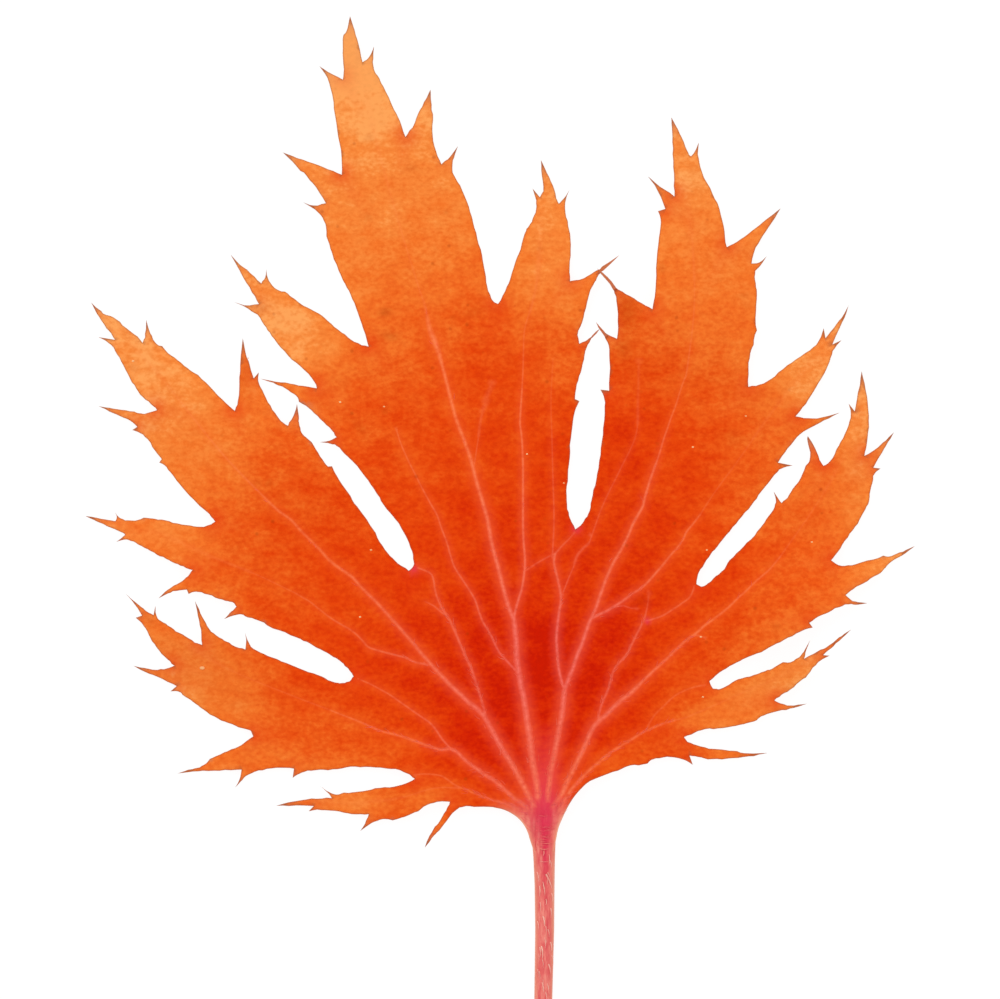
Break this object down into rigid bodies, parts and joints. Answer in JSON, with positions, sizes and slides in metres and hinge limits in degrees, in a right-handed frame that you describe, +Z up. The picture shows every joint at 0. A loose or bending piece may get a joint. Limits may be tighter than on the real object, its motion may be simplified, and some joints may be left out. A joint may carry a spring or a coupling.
{
  "type": "autumn leaf",
  "caption": "Fallen palmate maple-type leaf in red and orange, with long toothed lobes cut deep between fine pointed teeth, ribs radiating under the blade and a slender hairy petiole.",
  "frame": {"origin": "centre of the leaf's bounding box in plan, on the surface that it lies on", "axes": "+Z up out of the surface, +Y from the petiole towards the longest lobe, +X to the right seen from above"},
  "size_m": [0.083, 0.116, 0.0026],
  "materials": {
    "leaf": "matte, with fine fibres and paler veins"
  },
  "bodies": {
    "root": {"leaf": "leaf"}
  },
  "joints": []
}
